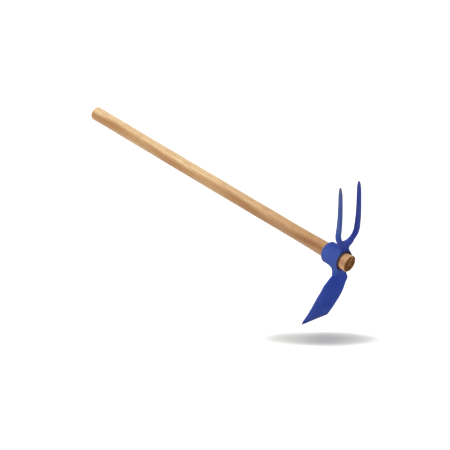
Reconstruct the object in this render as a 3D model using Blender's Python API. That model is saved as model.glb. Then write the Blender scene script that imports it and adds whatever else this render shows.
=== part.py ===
"""Fork hoe: a forged head with a two-tined fork above the eye and a broad blade below it, on a
turned wooden handle that is spread in the eye by a wooden wedge.

Frame, in metres: the origin is the centre of the handle's front end, which shows in front of the
eye. +X points out of that end, away from the grip. +Z is the side of the tines, -Z the side of
the blade, and the head is symmetric about the plane Y = 0.
"""
import math

import bmesh
import bpy
from mathutils import Vector

# Handle
HANDLE_LENGTH = 0.780
SHAFT_RADIUS = 0.0141
HEAD_END_RADIUS = 0.0172
FLARE_LENGTH = 0.150
FLARE_POWER = 1.45
END_BREAK = 0.0010
GRIP_ROUNDING = 0.0030

# Eye of the head, a turned collar round the handle
EYE_SETBACK = 0.0185
EYE_LENGTH = 0.0445
EYE_FRONT_WALL = 0.0047
EYE_BARREL = 0.0006
EYE_RIM_ROUNDING = 0.0014
EYE_FIT = 0.0003

# Wedge and the saw kerf that it sits in
WEDGE_LENGTH = 0.038
WEDGE_HEAD_THICKNESS = 0.0032
WEDGE_TIP_THICKNESS = 0.0012
WEDGE_TILT = math.radians(24.0)
WEDGE_EDGE_INSET = 0.0004
KERF_SIDE_GAP = 0.0003
KERF_SPARE_DEPTH = 0.0030
CUT_OVERRUN = 0.0040

# Fork: one bar bent to a U, on a stem that stands on the front of the eye
TINE_SPACING = 0.0478
TINE_TIP_HEIGHT = 0.1670
FORK_FLOOR_HEIGHT = 0.0388
FORK_BEND_HEIGHT = 0.0300
FORK_BOW_HEIGHT = 0.1000
FORK_BOW_X = -0.0137
FORK_ROOT_SETBACK = 0.0055
FORK_TIP_SETBACK = 0.0046
FORK_ROOT_POWER = 2.2
FORK_TIP_POWER = 1.5
TINE_ROOT_SIDE = 0.0097
TINE_SIDE = 0.0070
TINE_POINT_SIDE = 0.0029
TINE_POINT_LENGTH = 0.0180
TINE_POINT_POWER = 1.8
TINE_CORNER_SHARE = 0.26
STEM_WAIST_WIDTH = 0.0222
STEM_TOP_WIDTH = 0.0340
STEM_DEPTH = 0.0130
STEM_SPREAD_POWER = 3
STEM_CORNER = 0.0030

# Blade, from the neck under the eye to the cutting edge
BLADE_EDGE_DEPTH = 0.1666
BLADE_NECK_DEPTH = 0.0385
BLADE_SHOULDER_DEPTH = 0.0620
BLADE_FULL_DEPTH = 0.1000
NECK_WIDTH = 0.0236
SHOULDER_WIDTH = 0.0578
BLADE_WIDTH = 0.0682
SHOULDER_POWER = 2.2
NECK_SETBACK = 0.0029
BLADE_LEAN = 0.0633
BLADE_HOLLOW = 0.0160
BLADE_CURL = 0.0223
NECK_THICKNESS = 0.0152
NECK_END_DEPTH = 0.0535
BLADE_TOP_THICKNESS = 0.0053
BLADE_LOW_THICKNESS = 0.0034
BLADE_EDGE_THICKNESS = 0.0010
BLADE_BEVEL_LENGTH = 0.0070
BLADE_SIDE_ROUNDING = 0.0012
BLADE_SIDE_ROUNDING_SHARE = 0.6

# Where the stem and the neck grow out of the eye
ROOT_INSET = 0.0060
ROOT_FLARE = 0.0050
ROOT_FLARE_HEIGHT = 0.0140

# Fineness of the facets
TURNED_SIDES = 56
FLARE_STEPS = 12
ROUNDING_STEPS = 4
TINE_STEPS = 15
BEND_STEPS = 9
STEM_STEPS = 10
WEDGE_STEPS = 4
BLADE_STEPS = 30
CORNER_STEPS = 3
LARGEST_ROUNDING_SHARE = 0.98
SHARP_ANGLE = math.radians(40.0)

# Finishes as seen on the object: colour, then roughness
BLUE_PAINT = ((0.042, 0.080, 0.330, 1.0), 0.42)
LACQUERED_WOOD = ((0.690, 0.440, 0.220, 1.0), 0.45)
WEDGE_WOOD = ((0.400, 0.240, 0.120, 1.0), 0.70)


FORWARD = Vector((1, 0, 0))
UPWARD = Vector((0, 0, 1))


def smooth_step(t):
    """0 below 0, 1 above 1, and 3t^2 - 2t^3 between."""
    t = min(max(t, 0.0), 1.0)
    return t * t * (3.0 - 2.0 * t)


def blend(a, b, t):
    return a + (b - a) * t


def handle_radius(x):
    """Radius of the handle at x: a plain shaft that flares towards the front end."""
    along = min(max(1.0 + x / FLARE_LENGTH, 0.0), 1.0)
    return SHAFT_RADIUS + (HEAD_END_RADIUS - SHAFT_RADIUS) * along ** FLARE_POWER


def eye_front():
    return -EYE_SETBACK


def eye_back():
    return -EYE_SETBACK - EYE_LENGTH


def eye_radius():
    """Outside of the collar at its middle: the handle, its clearance and the wall at the front."""
    return handle_radius(eye_front()) + EYE_FIT + EYE_FRONT_WALL


def clear_scene():
    for thing in list(bpy.data.objects):
        bpy.data.objects.remove(thing, do_unlink=True)


def material(name, colour, roughness):
    """Paint and wood alike are dielectrics, so the metallic value is 0."""
    made = bpy.data.materials.new(name)
    made.use_nodes = True
    shader = made.node_tree.nodes["Principled BSDF"]
    shader.inputs["Base Color"].default_value = colour
    shader.inputs["Roughness"].default_value = roughness
    shader.inputs["Metallic"].default_value = 0.0
    made.diffuse_color = colour
    return made


def new_object(name, mesh, finish=None):
    thing = bpy.data.objects.new(name, mesh)
    bpy.context.scene.collection.objects.link(thing)
    if finish:
        mesh.materials.append(finish)
    return thing


def lofted(name, sections, finish=None):
    """A closed body through equal-count sections, each a ring of points, with flat end caps."""
    bm = bmesh.new()
    rings = [[bm.verts.new(point) for point in section] for section in sections]
    count = len(rings[0])
    for low, high in zip(rings[:-1], rings[1:]):
        for i in range(count):
            j = (i + 1) % count
            bm.faces.new((low[i], low[j], high[j], high[i]))
    bm.faces.new(list(reversed(rings[0])))
    bm.faces.new(rings[-1])
    bmesh.ops.recalc_face_normals(bm, faces=bm.faces)
    mesh = bpy.data.meshes.new(name)
    bm.to_mesh(mesh)
    bm.free()
    return new_object(name, mesh, finish)


def ring_of(x, radius):
    """The points of one turned ring about the X axis."""
    turns = [2.0 * math.pi * i / TURNED_SIDES for i in range(TURNED_SIDES)]
    return [Vector((x, radius * math.cos(a), radius * math.sin(a))) for a in turns]


def turned(name, profile, finish=None):
    """A solid of revolution about the X axis through (x, radius) pairs, with flat ends."""
    return lofted(name, [ring_of(x, radius) for x, radius in profile], finish)


def combine(base, other, operation):
    """A live Boolean of base with other, which stays in the scene as a wire guide."""
    other.hide_render = True
    other.display_type = 'WIRE'
    step = base.modifiers.new(operation.lower() + "_" + other.name, 'BOOLEAN')
    step.operation = operation
    step.solver = 'EXACT'
    step.object = other


def rounded_section(half_width, half_depth, rounding):
    """Corner-rounded rectangle as (across, through) pairs, anticlockwise."""
    rounding = min(rounding, LARGEST_ROUNDING_SHARE * min(half_width, half_depth))
    corners = [(1, 1, 0.0), (-1, 1, 0.5), (-1, -1, 1.0), (1, -1, 1.5)]
    points = []
    for across, through, start in corners:
        centre_w = across * (half_width - rounding)
        centre_d = through * (half_depth - rounding)
        for i in range(CORNER_STEPS + 1):
            angle = math.pi * (start + 0.5 * i / CORNER_STEPS)
            points.append((centre_w + rounding * math.cos(angle),
                           centre_d + rounding * math.sin(angle)))
    return points


def placed_section(centre, tangent, through_hint, half_width, half_depth, rounding):
    """A rounded rectangle square to the tangent, its depth as near as can be to through_hint."""
    tangent = tangent.normalized()
    through = (through_hint - tangent * through_hint.dot(tangent)).normalized()
    across = through.cross(tangent).normalized()
    section = rounded_section(half_width, half_depth, rounding)
    return [centre + across * a + through * b for a, b in section]


def tangents(path):
    """Central differences along a path, one-sided at its ends."""
    last = len(path) - 1
    return [path[min(i + 1, last)] - path[max(i - 1, 0)] for i in range(len(path))]


def fork_x(height):
    """Where the fork's middle lies along X: bowed forward between the root and the points."""
    if height < FORK_BOW_HEIGHT:
        share = (FORK_BOW_HEIGHT - height) / (FORK_BOW_HEIGHT - FORK_FLOOR_HEIGHT)
        return FORK_BOW_X - FORK_ROOT_SETBACK * max(share, 0.0) ** FORK_ROOT_POWER
    share = (height - FORK_BOW_HEIGHT) / (TINE_TIP_HEIGHT - FORK_BOW_HEIGHT)
    return FORK_BOW_X - FORK_TIP_SETBACK * share ** FORK_TIP_POWER


def half_fork_path():
    """Middle of the bar from the floor of the U, round a quarter ellipse and up one tine."""
    points = []
    bend_top = FORK_FLOOR_HEIGHT + FORK_BEND_HEIGHT
    for i in range(BEND_STEPS + 1):
        turn = 0.5 * math.pi * i / BEND_STEPS
        y = 0.5 * TINE_SPACING * math.sin(turn)
        z = bend_top - FORK_BEND_HEIGHT * math.cos(turn)
        points.append(Vector((fork_x(z), y, z)))
    shank_top = TINE_TIP_HEIGHT - TINE_POINT_LENGTH
    for i in range(1, TINE_STEPS + 1):
        z = blend(bend_top, shank_top, i / TINE_STEPS)
        points.append(Vector((fork_x(z), 0.5 * TINE_SPACING, z)))
    for i in range(1, ROUNDING_STEPS + 1):
        z = blend(shank_top, TINE_TIP_HEIGHT, i / ROUNDING_STEPS)
        points.append(Vector((fork_x(z), 0.5 * TINE_SPACING, z)))
    return points


def tine_side(height):
    """Side of the square bar: it tapers evenly up the shank and then to a blunt point."""
    bend_top = FORK_FLOOR_HEIGHT + FORK_BEND_HEIGHT
    shank_top = TINE_TIP_HEIGHT - TINE_POINT_LENGTH
    if height <= shank_top:
        share = (height - bend_top) / (shank_top - bend_top)
        return blend(TINE_ROOT_SIDE, TINE_SIDE, max(share, 0.0))
    share = (height - shank_top) / TINE_POINT_LENGTH
    return blend(TINE_SIDE, TINE_POINT_SIDE, share ** TINE_POINT_POWER)


def fork_bar():
    """The U of square bar, from the point of one tine to the point of the other."""
    half = half_fork_path()
    mirrored = [Vector((p.x, -p.y, p.z)) for p in half[:0:-1]]
    path = mirrored + half
    sections = []
    for point, tangent in zip(path, tangents(path)):
        side = tine_side(point.z)
        sections.append(placed_section(point, tangent, FORWARD, 0.5 * side, 0.5 * side,
                                       TINE_CORNER_SHARE * side))
    return lofted("fork_bar", sections)


def root_flare(height):
    """Extra on each side of the stem or the neck where it springs from the eye, like a fillet."""
    share = (height - eye_radius() + ROOT_INSET) / ROOT_FLARE_HEIGHT
    return ROOT_FLARE * (1.0 - min(max(share, 0.0), 1.0)) ** 2


def fork_stem():
    """The stem from the front of the eye to the floor of the U, waisted and then spread like a V."""
    root = eye_radius() - ROOT_INSET
    middle_x = eye_front() - 0.5 * STEM_DEPTH
    sections = []
    for i in range(STEM_STEPS + 1):
        share = i / STEM_STEPS
        height = blend(root, FORK_FLOOR_HEIGHT, share)
        x = blend(middle_x, fork_x(FORK_FLOOR_HEIGHT), smooth_step(share))
        width = blend(STEM_WAIST_WIDTH, STEM_TOP_WIDTH, share ** STEM_SPREAD_POWER)
        depth = blend(STEM_DEPTH, TINE_ROOT_SIDE, share)
        flare = root_flare(height)
        sections.append(placed_section(Vector((x - flare, 0, height)), UPWARD, FORWARD,
                                       0.5 * width + flare, 0.5 * depth + flare, STEM_CORNER))
    return lofted("fork_stem", sections)


def blade_share(depth):
    """0 at the eye's outside and 1 at the cutting edge."""
    return (depth - eye_radius()) / (BLADE_EDGE_DEPTH - eye_radius())


def blade_x(depth):
    """Where the blade's middle lies along X. Its front face starts behind the eye's and leans to
    the grip: evenly, less a little by the square of the way down, and more again by its cube. The
    middle is half a thickness behind that face, square to it."""
    share = blade_share(depth)
    front = eye_front() - NECK_SETBACK - BLADE_LEAN * share + BLADE_HOLLOW * share ** 2 \
        - BLADE_CURL * share ** 3
    slope = (BLADE_LEAN - 2.0 * BLADE_HOLLOW * share + 3.0 * BLADE_CURL * share ** 2) \
        / (BLADE_EDGE_DEPTH - eye_radius())
    return front - 0.5 * blade_thickness(depth) * math.hypot(1.0, slope)


def blade_width(depth):
    """Neck, then a shoulder that starts at once and eases off by a power, then nearly parallel
    sides down to the cutting edge."""
    down = (depth - BLADE_NECK_DEPTH) / (BLADE_SHOULDER_DEPTH - BLADE_NECK_DEPTH)
    shoulder = 1.0 - (1.0 - min(max(down, 0.0), 1.0)) ** SHOULDER_POWER
    full = smooth_step((depth - BLADE_SHOULDER_DEPTH) / (BLADE_FULL_DEPTH - BLADE_SHOULDER_DEPTH))
    return blend(NECK_WIDTH, SHOULDER_WIDTH, shoulder) + (BLADE_WIDTH - SHOULDER_WIDTH) * full


def blade_thickness(depth):
    """Thick at the neck, thin over the shoulder and down the blade, with a ground cutting edge."""
    neck = 1.0 - smooth_step((depth - eye_radius()) / (NECK_END_DEPTH - eye_radius()))
    down = (depth - BLADE_SHOULDER_DEPTH) / (BLADE_EDGE_DEPTH - BLADE_SHOULDER_DEPTH)
    plate = blend(BLADE_TOP_THICKNESS, BLADE_LOW_THICKNESS, max(down, 0.0))
    body = plate + (NECK_THICKNESS - BLADE_TOP_THICKNESS) * neck
    bevel = (BLADE_EDGE_DEPTH - depth) / BLADE_BEVEL_LENGTH
    return min(body, blend(BLADE_EDGE_THICKNESS, BLADE_LOW_THICKNESS, max(bevel, 0.0)))


def blade():
    """The blade and its neck, which starts inside the wall of the eye."""
    start = eye_radius() - ROOT_INSET
    bevel_top = BLADE_EDGE_DEPTH - BLADE_BEVEL_LENGTH
    depths = [blend(start, bevel_top, i / BLADE_STEPS) for i in range(BLADE_STEPS + 1)]
    depths.append(BLADE_EDGE_DEPTH)
    path = [Vector((blade_x(depth), 0, -depth)) for depth in depths]
    sections = []
    for point, tangent, depth in zip(path, tangents(path), depths):
        flare = root_flare(depth)
        half_width = 0.5 * blade_width(depth) + flare
        half_depth = 0.5 * blade_thickness(depth) + flare
        rounding = max(BLADE_SIDE_ROUNDING, BLADE_SIDE_ROUNDING_SHARE * half_depth)
        sections.append(placed_section(point - flare * FORWARD, tangent, FORWARD,
                                       half_width, half_depth, rounding))
    return lofted("blade", sections)


def eye_blank():
    """The outside of the collar: a slight barrel with rounded rims."""
    rim = []
    for i in range(ROUNDING_STEPS + 1):
        turn = 0.5 * math.pi * i / ROUNDING_STEPS
        rim.append((eye_front() - EYE_RIM_ROUNDING * (1.0 - math.cos(turn)),
                    eye_radius() - EYE_BARREL - EYE_RIM_ROUNDING * (1.0 - math.sin(turn))))
    middle = 0.5 * (eye_front() + eye_back())
    mirrored = [(2.0 * middle - x, radius) for x, radius in reversed(rim)]
    return turned("eye_blank", rim + [(middle, eye_radius())] + mirrored)


def eye_bore():
    """The tapered bore, which follows the flare of the handle at the named clearance."""
    front = eye_front() + CUT_OVERRUN
    back = eye_back() - CUT_OVERRUN
    stations = [blend(front, back, i / FLARE_STEPS) for i in range(FLARE_STEPS + 1)]
    return turned("eye_bore", [(x, handle_radius(x) + EYE_FIT) for x in stations])


def hoe_head(finish):
    head = eye_blank()
    head.name = "hoe_head"
    head.data.name = "hoe_head"
    head.data.materials.append(finish)
    for piece in (fork_stem(), fork_bar(), blade()):
        combine(head, piece, 'UNION')
    combine(head, eye_bore(), 'DIFFERENCE')
    return head


def handle_profile():
    """From the front end, over the flare and down the shaft, to the rounded grip end."""
    profile = [(0.0, HEAD_END_RADIUS - END_BREAK), (-END_BREAK, handle_radius(-END_BREAK))]
    for i in range(1, FLARE_STEPS + 1):
        x = -FLARE_LENGTH * i / FLARE_STEPS
        profile.append((x, handle_radius(x)))
    for i in range(ROUNDING_STEPS + 2):
        turn = 0.5 * math.pi * i / (ROUNDING_STEPS + 1)
        profile.append((-HANDLE_LENGTH + GRIP_ROUNDING * (1.0 - math.sin(turn)),
                        SHAFT_RADIUS - GRIP_ROUNDING * (1.0 - math.cos(turn))))
    return profile


def kerf_cutter():
    """The tapered saw kerf right across the front end, deeper than the wedge."""
    slope = (WEDGE_HEAD_THICKNESS - WEDGE_TIP_THICKNESS) / WEDGE_LENGTH
    stations = ((CUT_OVERRUN, WEDGE_HEAD_THICKNESS + slope * CUT_OVERRUN),
                (-WEDGE_LENGTH, WEDGE_TIP_THICKNESS),
                (-WEDGE_LENGTH - KERF_SPARE_DEPTH, WEDGE_TIP_THICKNESS))
    outside = HEAD_END_RADIUS + CUT_OVERRUN
    sections = [wedge_section(x, 0.5 * thickness + KERF_SIDE_GAP, outside) for x, thickness in stations]
    return lofted("kerf_cutter", sections)


def wedge_section(x, half_thickness, half_height):
    """A rectangle across the handle at x, turned to the wedge's tilt about the X axis."""
    points = []
    for y, z in ((1, 1), (-1, 1), (-1, -1), (1, -1)):
        across = y * half_thickness
        up = z * half_height
        points.append(Vector((x, across * math.cos(WEDGE_TILT) + up * math.sin(WEDGE_TILT),
                              -across * math.sin(WEDGE_TILT) + up * math.cos(WEDGE_TILT))))
    return points


def handle(finish):
    grip = turned("handle", handle_profile(), finish)
    combine(grip, kerf_cutter(), 'DIFFERENCE')
    return grip


def wedge(finish):
    """The wooden wedge, flush with the front end and trimmed to the handle's own outline."""
    sections = []
    for i in range(WEDGE_STEPS + 1):
        x = -WEDGE_LENGTH * i / WEDGE_STEPS
        thickness = blend(WEDGE_HEAD_THICKNESS, WEDGE_TIP_THICKNESS, i / WEDGE_STEPS)
        radius = handle_radius(x) - WEDGE_EDGE_INSET - (END_BREAK if i == 0 else 0.0)
        sections.append(wedge_section(x, 0.5 * thickness, radius))
    return lofted("wedge", sections, finish)


def main():
    clear_scene()
    pieces = (hoe_head(material("blue_paint", *BLUE_PAINT)),
              handle(material("lacquered_wood", *LACQUERED_WOOD)),
              wedge(material("wedge_wood", *WEDGE_WOOD)))
    for piece in pieces:
        piece.data.shade_smooth()
        piece.data.set_sharp_from_angle(angle=SHARP_ANGLE)


main()
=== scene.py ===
"""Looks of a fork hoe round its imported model: a forged and painted head, a lacquered wooden
handle and the wedge that spreads it in the eye.

Frame, in metres: the origin is the centre of the handle's front end, +X points out of that end,
+Z is the side of the tines and -Z the side of the blade. The head is the same on both sides of
Y = 0, apart from the small unevenness of a forging.
"""
import logging
import math
from dataclasses import dataclass
from enum import Enum

import bpy
import numpy as np
from mathutils import Matrix, Vector


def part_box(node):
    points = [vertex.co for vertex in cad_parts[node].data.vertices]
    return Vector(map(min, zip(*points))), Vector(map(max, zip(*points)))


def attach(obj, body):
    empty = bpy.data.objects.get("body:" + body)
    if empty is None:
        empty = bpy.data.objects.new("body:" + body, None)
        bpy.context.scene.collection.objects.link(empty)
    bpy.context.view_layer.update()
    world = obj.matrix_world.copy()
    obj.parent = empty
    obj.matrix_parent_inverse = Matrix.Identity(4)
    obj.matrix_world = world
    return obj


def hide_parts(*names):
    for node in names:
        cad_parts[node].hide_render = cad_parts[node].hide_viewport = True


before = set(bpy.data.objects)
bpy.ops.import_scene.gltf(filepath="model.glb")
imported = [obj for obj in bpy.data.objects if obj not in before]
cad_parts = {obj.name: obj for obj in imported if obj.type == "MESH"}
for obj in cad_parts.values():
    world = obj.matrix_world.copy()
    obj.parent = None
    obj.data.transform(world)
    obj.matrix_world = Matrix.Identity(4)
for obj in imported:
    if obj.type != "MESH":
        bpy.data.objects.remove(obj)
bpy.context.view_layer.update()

Array = np.ndarray
Pair = tuple[float, float]
Triple = tuple[float, float, float]
Ramp = tuple[float, float, float, float]
Socket = bpy.types.NodeSocket
LOG = logging.getLogger("fork_hoe")
# How far the saw kerf leans off upright, with the wedge in it and the painted shade beside it.
KERF_TILT = math.radians(24.0)


class Slot(Enum):
    """Names for the pieces' materials."""

    PAINT = "blue_paint"
    LACQUER = "lacquered_wood"
    WEDGE = "wedge_wood"


class Body(Enum):
    """The bodies that pieces ride on."""

    WHOLE = "root"


def part_way(value: Array, start: float, end: float) -> Array:
    """How far the value has come from start to end: 0 before start, 1 past end, even between."""
    return np.clip((value - start) / (end - start), 0.0, 1.0)


def smooth_step(t: Array) -> Array:
    """0 below 0, 1 above 1, and 3t^2 - 2t^3 between."""
    t = np.clip(t, 0.0, 1.0)
    return t * t * (3.0 - 2.0 * t)


def blend(a: Array, b: Array, t: Array) -> Array:
    """The straight mix of a and b: a where t is 0 and b where t is 1."""
    return a + (b - a) * t


def soft_union(a: Array, b: Array, reach: float) -> Array:
    """Join two distance fields with a fillet.

    It is the lesser of the two, less reach / 4 times the square of how near they are to each other
    as a share of reach.

    Args:
        a: distance to the first form, negative inside it.
        b: distance to the second form.
        reach: how far apart the two may be and still have a fillet between them.

    Returns:
        The distance field of the joined form.
    """
    near = np.maximum(reach - np.abs(a - b), 0.0) / reach
    return np.minimum(a, b) - 0.25 * reach * near * near


def rounded_corner(a: Array, b: Array, radius: Array) -> Array:
    """Keep what is inside both of two distance fields, with the corner between them rounded.

    Within the radius of both surfaces it is the distance to a quarter circle that touches both, and
    elsewhere the greater of the two.

    Args:
        a: distance to the first limit, negative inside it.
        b: distance to the second limit.
        radius: rounding of the corner, one for all or one for each point.

    Returns:
        The distance field of the form inside both limits.
    """
    over = np.hypot(np.maximum(a + radius, 0.0), np.maximum(b + radius, 0.0))
    return np.minimum(np.maximum(a, b), -radius) + over


@dataclass(frozen=True)
class HammerMarks:
    """The slight unevenness that the hammer leaves: coarse, middling and fine marks, each with two
    directions that it runs in."""

    wavelength: float = 0.0260
    height: float = 0.00010
    sizes: Triple = (1.0, 0.61, 0.43)
    runs: tuple[tuple[Triple, Triple], ...] = (
        ((1.0, 0.4, 0.0), (-0.3, 0.0, 1.0)),
        ((0.0, 1.0, 0.7), (1.0, 0.0, -0.5)),
        ((0.0, 0.2, 1.0), (-0.6, 1.0, 0.0)))
    phases: tuple[Pair, ...] = ((1.3, 0.4), (2.1, 5.0), (0.9, 3.2))

    def relief(self, x: Array, y: Array, z: Array) -> Array:
        """Height of the marks: the mean, over the three sizes, of the product of two sines that run
        in unlike directions.

        Args:
            x, y, z: coordinates of the points, in arrays that fit each other.

        Returns:
            The height at each point, in metres.
        """
        total = 0.0
        for size, runs, phases in zip(self.sizes, self.runs, self.phases):
            turn = 2.0 * math.pi / self.wavelength / size
            along = [sum(part * c for part, c in zip(run, (x, y, z)) if part) for run in runs]
            total = total + math.prod(np.sin(turn * way + phase) for way, phase in zip(along, phases))
        return self.height * total / len(self.sizes)


def surface_net(field: Array) -> tuple[Array, Array]:
    """Mesh the zero level of a field sampled on a regular grid.

    A cell whose corners differ in sign gets one point, the mean of the places where its 12 edges
    cross zero by straight interpolation. A grid edge that crosses zero gets one face, through the
    points of the four cells round it, turned so that it faces the positive side.

    Args:
        field: values on the grid, negative inside.

    Returns:
        Points in steps of the grid, and the four points of each face.
    """
    inside = field < 0.0
    cells_shape = tuple(side - 1 for side in field.shape)
    count = np.zeros(cells_shape, np.int8)
    corners = list(np.ndindex(2, 2, 2))
    for corner in corners:
        count += inside[tuple(slice(c, c + n) for c, n in zip(corner, cells_shape))]
    cells = np.argwhere((count > 0) & (count < len(corners)))
    number = np.full(cells_shape, -1, np.int64)
    number[tuple(cells.T)] = np.arange(len(cells))

    units = np.eye(3, dtype=np.int64)
    total = np.zeros((len(cells), 3))
    crossings = np.zeros(len(cells))
    for axis in range(3):
        one, two = units[(axis + 1) % 3], units[(axis + 2) % 3]
        for u, v in np.ndindex(2, 2):
            start = u * one + v * two
            low = field[tuple((cells + start).T)]
            high = field[tuple((cells + start + units[axis]).T)]
            crosses = (low < 0.0) != (high < 0.0)
            share = np.where(crosses, low / np.where(crosses, low - high, 1.0), 0.0)
            total += crosses[:, None] * (start + share[:, None] * units[axis])
            crossings += crosses
    points = cells + total / crossings[:, None]

    faces = []
    for axis in range(3):
        one, two = units[(axis + 1) % 3], units[(axis + 2) % 3]
        low = np.take(inside, range(field.shape[axis] - 1), axis)
        high = np.take(inside, range(1, field.shape[axis]), axis)
        edges = np.argwhere(low != high)
        around = [number[tuple((edges - shift).T)] for shift in (0 * one, one, one + two, two)]
        quads = np.stack(around, axis=1)
        turned = ~low[tuple(edges.T)]
        quads[turned] = quads[turned, ::-1]
        faces.append(quads)
    return points, np.concatenate(faces)


def ring_faces(rows: int, columns: int) -> Array:
    """Four-sided faces of a tube of points, closed round and open at both ends.

    Args:
        rows: rings of points along the tube.
        columns: points in each ring.

    Returns:
        The four points of each face.
    """
    first = np.arange(rows - 1)[:, None] * columns
    across = np.arange(columns)[None, :]
    after = (across + 1) % columns
    quads = (first + across, first + across + columns, first + after + columns, first + after)
    return np.stack([np.broadcast_to(q, (rows - 1, columns)).ravel() for q in quads], axis=1)


def mesh_piece(name: str, points: Array, faces: list[Array]) -> bpy.types.Object:
    """Put computed points and faces into a new object at the origin.

    Args:
        name: the piece's name.
        points: (n, 3) places in the shared frame.
        faces: arrays of corner numbers, each with its own count of corners to a face.

    Returns:
        The linked object.
    """
    mesh = bpy.data.meshes.new(name)
    mesh.from_pydata(points.astype(float), [], [tuple(f) for group in faces for f in group.tolist()])
    mesh.validate()
    piece = bpy.data.objects.new(name, mesh)
    bpy.context.scene.collection.objects.link(piece)
    return piece


def shade_smooth(piece: bpy.types.Object, sharp_degrees: float) -> None:
    """Shade the piece smooth, with edges sharper than the angle left crisp."""
    piece.data.shade_smooth()
    piece.data.set_sharp_from_angle(angle=math.radians(sharp_degrees))


def write_attribute(piece: bpy.types.Object, name: str, values: Array) -> None:
    """Store one number for each point of the piece, for its finish to read."""
    attribute = piece.data.attributes.new(name, "FLOAT", "POINT")
    attribute.data.foreach_set("value", values.astype(np.float32))


def hand_over(piece: bpy.types.Object, node: str) -> None:
    """Ride the piece on the whole, let it stand for its node, and log its count of faces.

    Args:
        piece: the finished piece.
        node: the CAD node that it stands for.
    """
    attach(piece, Body.WHOLE.value)
    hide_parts(node)
    LOG.info("%s stands for %s with %d faces", piece.name, node, len(piece.data.polygons))


def opaque(colour: Triple) -> Ramp:
    """The colour with an alpha of 1."""
    return (*colour, 1.0)


@dataclass(frozen=True)
class Speckle:
    """Cloudy noise with so many features to the metre, drawn out along X where stretch is under 1."""

    scale: float
    detail: float
    roughness: float = 0.5
    stretch: float = 1.0


@dataclass(frozen=True)
class GrowthRings:
    """Wavy growth rings round a pith that lies beside the wood."""

    width: float
    ramp: Ramp
    along_scale: float = 1.0
    pith: Triple = (0.0, 0.052, -0.030)
    waver: float = 2.5
    waver_scale: float = 1.2
    waver_detail: float = 2.0


class Nodes:
    """A node tree, with short ways to add the nodes that its users share."""

    COLOUR_INPUTS = (6, 7)
    COLOUR_RESULT = 2

    def __init__(self, tree: bpy.types.NodeTree) -> None:
        """Add to this tree."""
        self.tree = tree

    def node(self, kind: str, inputs: dict | None = None, **settings: object) -> bpy.types.Node:
        """Add a node.

        Args:
            kind: the node's type.
            inputs: a value or a socket for each named or numbered input.
            settings: the node's own properties.

        Returns:
            The new node.
        """
        made = self.tree.nodes.new(kind)
        for key, value in settings.items():
            setattr(made, key, value)
        for key, value in (inputs or {}).items():
            self.feed(made.inputs[key], value)
        return made

    def feed(self, target: Socket, value: object) -> None:
        """Give an input its value.

        Args:
            target: the input.
            value: a socket to link to it, or a plain value to set it to.
        """
        if isinstance(value, bpy.types.NodeSocket):
            self.tree.links.new(value, target)
        else:
            target.default_value = value

    def object_place(self) -> Socket:
        """Object coordinates, which are those of the shared frame."""
        return self.node("ShaderNodeTexCoord").outputs["Object"]

    def remap(self, value: Socket, low: float, high: float,
              to_low: float = 0.0, to_high: float = 1.0) -> Socket:
        """Stretch the range low to high on to another one, held at its ends."""
        made = self.node("ShaderNodeMapRange", {
            "Value": value, "From Min": low, "From Max": high, "To Min": to_low, "To Max": to_high})
        return made.outputs["Result"]

    def combine(self, operation: str, first: object, second: object = 0.0) -> Socket:
        """One of Blender's sums on one or two numbers, such as SINE or MULTIPLY."""
        return self.node("ShaderNodeMath", {0: first, 1: second}, operation=operation).outputs[0]

    def vector(self, operation: str, inputs: dict, output: str = "Vector") -> Socket:
        """One of Blender's sums on vectors, such as SCALE, or DISTANCE with the output Value."""
        return self.node("ShaderNodeVectorMath", inputs, operation=operation).outputs[output]

    def mix(self, factor: object, first: object, second: object) -> Socket:
        """Blend two colours by the factor.

        Args:
            factor: a number or a socket, 0 for the first colour and 1 for the second.
            first: a colour or a socket.
            second: a colour or a socket.

        Returns:
            The blended colour.
        """
        made = self.node("ShaderNodeMix", {"Factor": factor}, data_type="RGBA")
        for number, colour in zip(self.COLOUR_INPUTS, (first, second)):
            self.feed(made.inputs[number], colour)
        return made.outputs[self.COLOUR_RESULT]


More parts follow.
